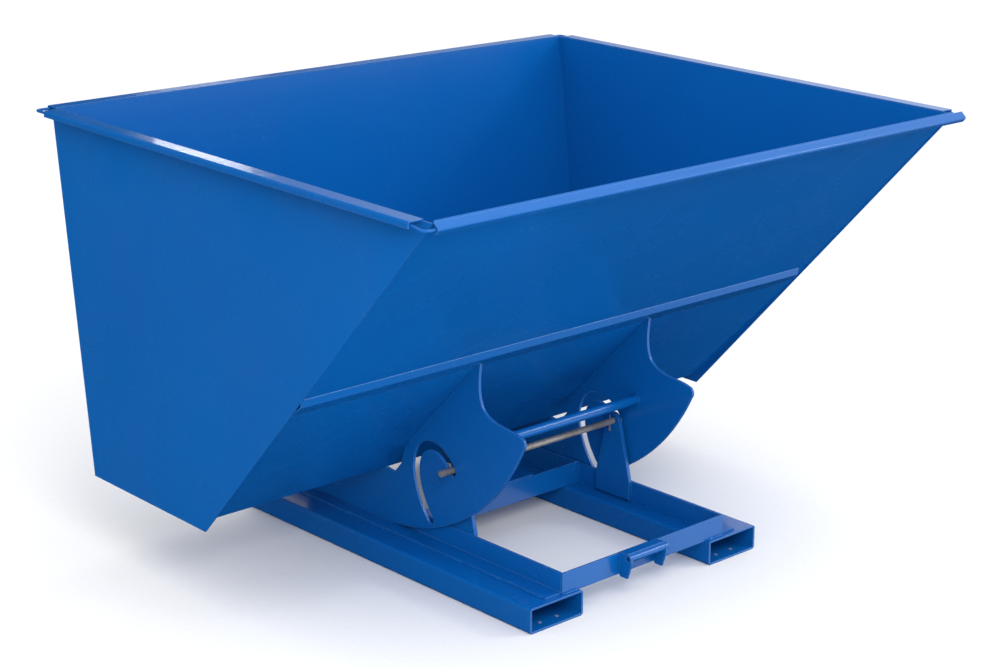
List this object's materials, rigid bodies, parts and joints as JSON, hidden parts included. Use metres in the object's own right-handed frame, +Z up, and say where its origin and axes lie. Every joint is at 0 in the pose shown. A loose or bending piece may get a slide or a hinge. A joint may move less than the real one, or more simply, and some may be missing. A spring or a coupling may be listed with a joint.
{
  "type": "self-dumping hopper",
  "caption": "Open steel wedge tub on rocker plates that roll forward along a base frame with two fork pockets to tip its load.",
  "frame": {"origin": "centre of the footprint, on the ground", "axes": "+Z up; the tub tips towards -Y; +X along the tub's width; the fork pockets run along Y and open at both ends"},
  "size_m": [2.106, 1.7213, 1.3233],
  "materials": {
    "blue_paint": "gloss",
    "axle_steel": "satin",
    "plated_steel": "satin",
    "bare_weld": "satin",
    "black_grip": "matte"
  },
  "bodies": {
    "base": {"fork_pocket_left": "blue_paint", "fork_pocket_right": "blue_paint", "rail_angle_left": "blue_paint", "rail_angle_right": "blue_paint", "front_cross_plate": "blue_paint", "rear_cross_plate": "blue_paint", "end_cross_plate": "blue_paint", "cable_table": "blue_paint", "pocket_plug_welds": "bare_weld", "post_left": "blue_paint", "post_right": "blue_paint", "bracket_gussets": "blue_paint", "bracket_cover": "blue_paint", "bracket_tube": "blue_paint", "latch_lugs": "blue_paint", "latch_pin": "plated_steel"},
    "carrier": {"roll_axis_disc": "blue_paint"},
    "tub": {"tub_side_left": "blue_paint", "tub_side_right": "blue_paint", "front_panel_upper": "blue_paint", "front_panel_lower": "blue_paint", "tub_floor": "blue_paint", "tub_rear_wall": "blue_paint", "panel_stiffener": "blue_paint", "rim_left": "blue_paint", "rim_right": "blue_paint", "rim_front": "blue_paint", "rim_rear": "blue_paint", "rim_rod": "blue_paint", "rocker_left": "blue_paint", "rocker_right": "blue_paint", "rocker_cross_tube": "blue_paint", "catch_lugs": "blue_paint", "catch_bar": "blue_paint"},
    "axle": {"axle": "axle_steel", "axle_cotters": "plated_steel"},
    "latch": {"latch_hook": "blue_paint", "latch_grip": "black_grip"}
  },
  "joints": [
    {"name": "roll_forward", "type": "slide", "parent": "base", "child": "carrier", "axis": [0, -1, 0], "range_m": [-0.001, 0.7375]},
    {"name": "tub_roll", "type": "hinge", "parent": "carrier", "child": "tub", "pos_m": [0, 0.1517, 0.7523], "axis": [1, 0, 0], "range_deg": [0, 63]},
    {"name": "axle_spin", "type": "hinge", "parent": "base", "child": "axle", "pos_m": [0, -0.1563, 0.323], "axis": [1, 0, 0], "continuous": true},
    {"name": "latch_swing", "type": "hinge", "parent": "base", "child": "latch", "pos_m": [0, 0.6187, 0.15], "axis": [1, 0, 0], "range_deg": [0, 25]}
  ],
  "couplings": [
    {"joint": "roll_forward", "follows": "tub_roll", "m_per_rad": 0.67}
  ]
}
